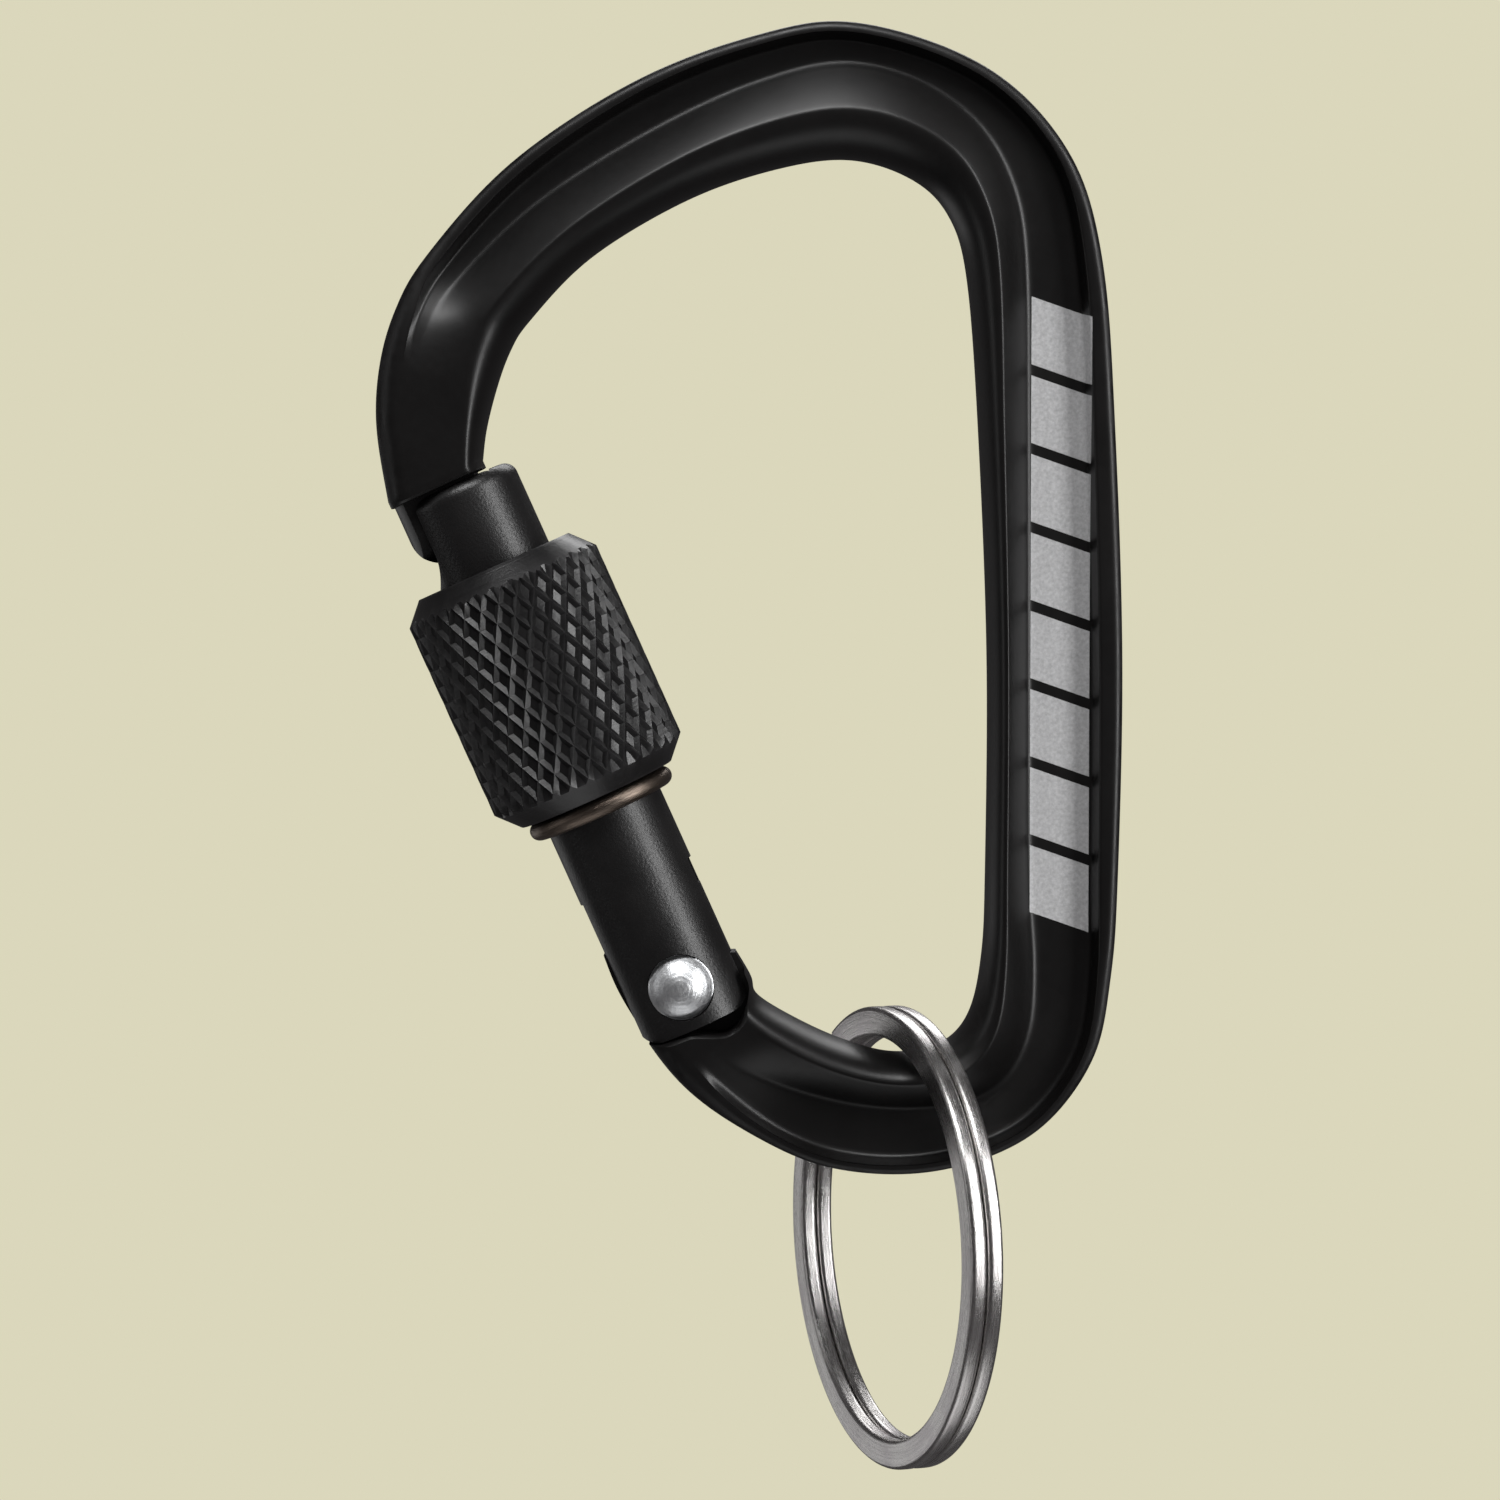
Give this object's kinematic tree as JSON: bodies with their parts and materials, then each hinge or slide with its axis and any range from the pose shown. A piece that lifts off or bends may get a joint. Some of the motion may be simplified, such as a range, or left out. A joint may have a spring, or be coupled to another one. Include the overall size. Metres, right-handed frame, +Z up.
{
  "type": "carabiner keyring",
  "caption": "Small D-shaped screw-gate carabiner with a knurled locking sleeve on its sprung gate and a split key ring hanging on its lower bar.",
  "frame": {"origin": "highest point of the inside of the bow, in the middle of its thickness, where the carabiner hangs", "axes": "+Z up along the hanging carabiner, +X from the gate towards the spine, Y through the thickness"},
  "size_m": [0.0398, 0.024, 0.0777],
  "materials": {
    "black_frame": "satin black anodised forging",
    "black_gate": "satin black anodised turned bar",
    "black_sleeve": "matt black anodised, diamond knurled",
    "bright_rivet": "bright formed head",
    "spring_steel": "drawn wire",
    "dark_plunger": "blackened strip",
    "stop_wire": "brownish drawn wire",
    "ring_steel": "bright nickel-plated spring steel"
  },
  "bodies": {
    "frame": {"frame": "black_frame"},
    "gate": {"gate": "black_gate", "gate_rivet": "bright_rivet", "gate_spring": "spring_steel"},
    "plunger": {"gate_plunger": "dark_plunger"},
    "turning_ring": {"stop_ring": "stop_wire"},
    "sleeve": {"locking_sleeve": "black_sleeve"},
    "key_ring": {"key_ring": "ring_steel"}
  },
  "joints": [
    {"name": "gate_hinge", "type": "hinge", "parent": "frame", "child": "gate", "pos_m": [-0.00908, 0, -0.04412], "axis": [0, 1, 0], "range_deg": [0, 26], "stiffness_Nm_per_rad": 0.01, "springref_deg": -45.84},
    {"name": "plunger_slide", "type": "slide", "parent": "gate", "child": "plunger", "axis": [-0.4099, 0, 0.9121], "range_m": [0, 0.0014], "deforming": ["gate_spring"]},
    {"name": "sleeve_turn", "type": "hinge", "parent": "gate", "child": "turning_ring", "pos_m": [-0.00908, 0, -0.04412], "axis": [-0.4099, 0, 0.9121], "range_deg": [0, 1040]},
    {"name": "sleeve_slide", "type": "slide", "parent": "turning_ring", "child": "sleeve", "axis": [-0.4099, 0, 0.9121], "range_m": [0, 0.0043]},
    {"name": "key_ring_swing", "type": "hinge", "parent": "frame", "child": "key_ring", "pos_m": [0.0024, 0, -0.05125], "axis": [1, 0, 0], "range_deg": [-50, 50]}
  ],
  "couplings": [
    {"joint": "plunger_slide", "follows": "gate_hinge", "m_per_rad": 0.003},
    {"joint": "sleeve_turn", "follows": "sleeve_slide", "rad_per_m": 4188.8}
  ]
}
